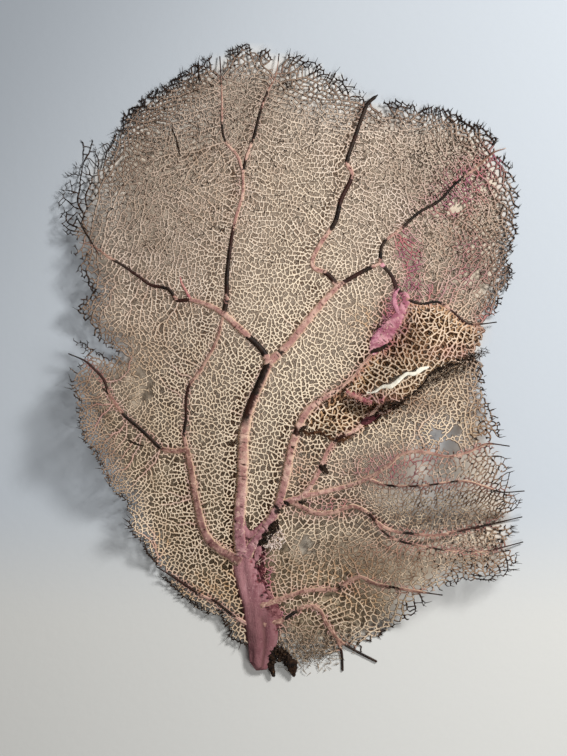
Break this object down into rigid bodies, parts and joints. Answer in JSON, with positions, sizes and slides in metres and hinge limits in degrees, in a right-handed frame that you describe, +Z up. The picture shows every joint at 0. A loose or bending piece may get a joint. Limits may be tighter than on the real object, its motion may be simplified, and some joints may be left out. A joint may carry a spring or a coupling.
{
  "type": "sea fan",
  "caption": "Dried common sea fan lying on its back: a flattened trunk with a broken holdfast, forking branches and lobes of fine open netting, one lobe folded over the next.",
  "frame": {"origin": "on the surface that the fan lies on, below the middle of its bounding box", "axes": "+Z up out of the surface, +Y along the fan from its foot to its crown, +X to the right as the fan is looked down on"},
  "size_m": [0.3756, 0.5094, 0.0513],
  "materials": {
    "net": "chalky crust over thin horny strands, cream at the middle and grey-brown at the crown",
    "crusted_branch": "dull salmon-pink crust, pitted",
    "trunk_crust": "dull purple-pink crust, grooved and flaked",
    "bare_horn": "smooth near-black horny skeleton, satin"
  },
  "bodies": {
    "root": {"trunk": "trunk_crust", "centre_branch": "crusted_branch", "right_branch": "crusted_branch", "left_branch": "crusted_branch", "left_crown_branch": "crusted_branch", "diagonal_branch": "crusted_branch", "crown_branch": "bare_horn", "left_shoulder_branch": "bare_horn", "right_link_branch": "bare_horn", "top_right_branch": "bare_horn", "blade_branch": "crusted_branch", "right_shoulder_branch": "bare_horn", "fold_branch": "crusted_branch", "left_outer_branch": "bare_horn", "left_link_branch": "crusted_branch", "crown_side_branch": "crusted_branch", "pocket_branch": "crusted_branch", "right_middle_branch": "crusted_branch", "right_lower_branch": "crusted_branch", "right_small_branch": "crusted_branch", "skirt_branch": "crusted_branch", "foot_branch": "crusted_branch", "twig_branch": "bare_horn", "twig_fork": "bare_horn", "low_left_branch": "bare_horn", "holdfast": "bare_horn", "net_foot_left": "net", "net_lower_left": "net", "net_left_outer": "net", "net_left_inner": "net", "net_upper_left": "net", "net_crown_left": "net", "net_crown": "net", "net_upper_right": "net", "net_right_shoulder": "net", "net_right_fold": "net", "net_heart": "net", "net_fold_pocket": "net", "net_right_upper": "net", "net_right_middle": "net", "net_right_lower": "net", "net_skirt_upper": "net", "net_skirt_lower": "net", "net_foot_right": "net", "net_foot_fringe": "net"}
  },
  "joints": []
}
